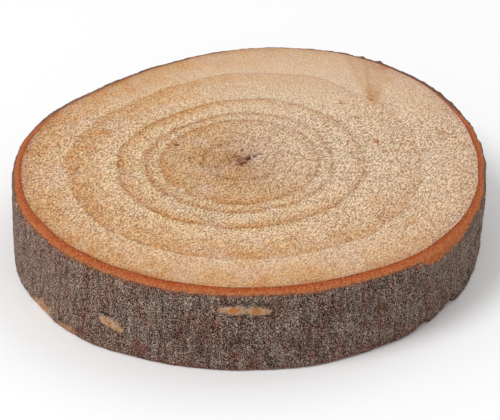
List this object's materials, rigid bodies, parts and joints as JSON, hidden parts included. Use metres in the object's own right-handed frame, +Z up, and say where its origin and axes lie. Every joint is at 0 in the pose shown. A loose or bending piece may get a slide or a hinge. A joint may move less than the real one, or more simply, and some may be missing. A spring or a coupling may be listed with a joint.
{
  "type": "wood slice",
  "caption": "Round slice of dried branch wood with its bark on, sawn flat on both faces.",
  "frame": {"origin": "middle of the lower sawn face, under the middle of the slice's box", "axes": "+Z up, square to the two sawn faces; +X and +Y lie in the sawn faces, with the flattened side of the branch towards -X and +Y"},
  "size_m": [0.105, 0.1044, 0.02],
  "materials": {
    "sawn_wood": "sawn end grain, unfinished, with wide pale growth rings",
    "bark": "natural thin grey-brown bark, with orange-brown inner bark along its rubbed edges"
  },
  "bodies": {
    "root": {"wood_slice": "sawn_wood"}
  },
  "joints": []
}
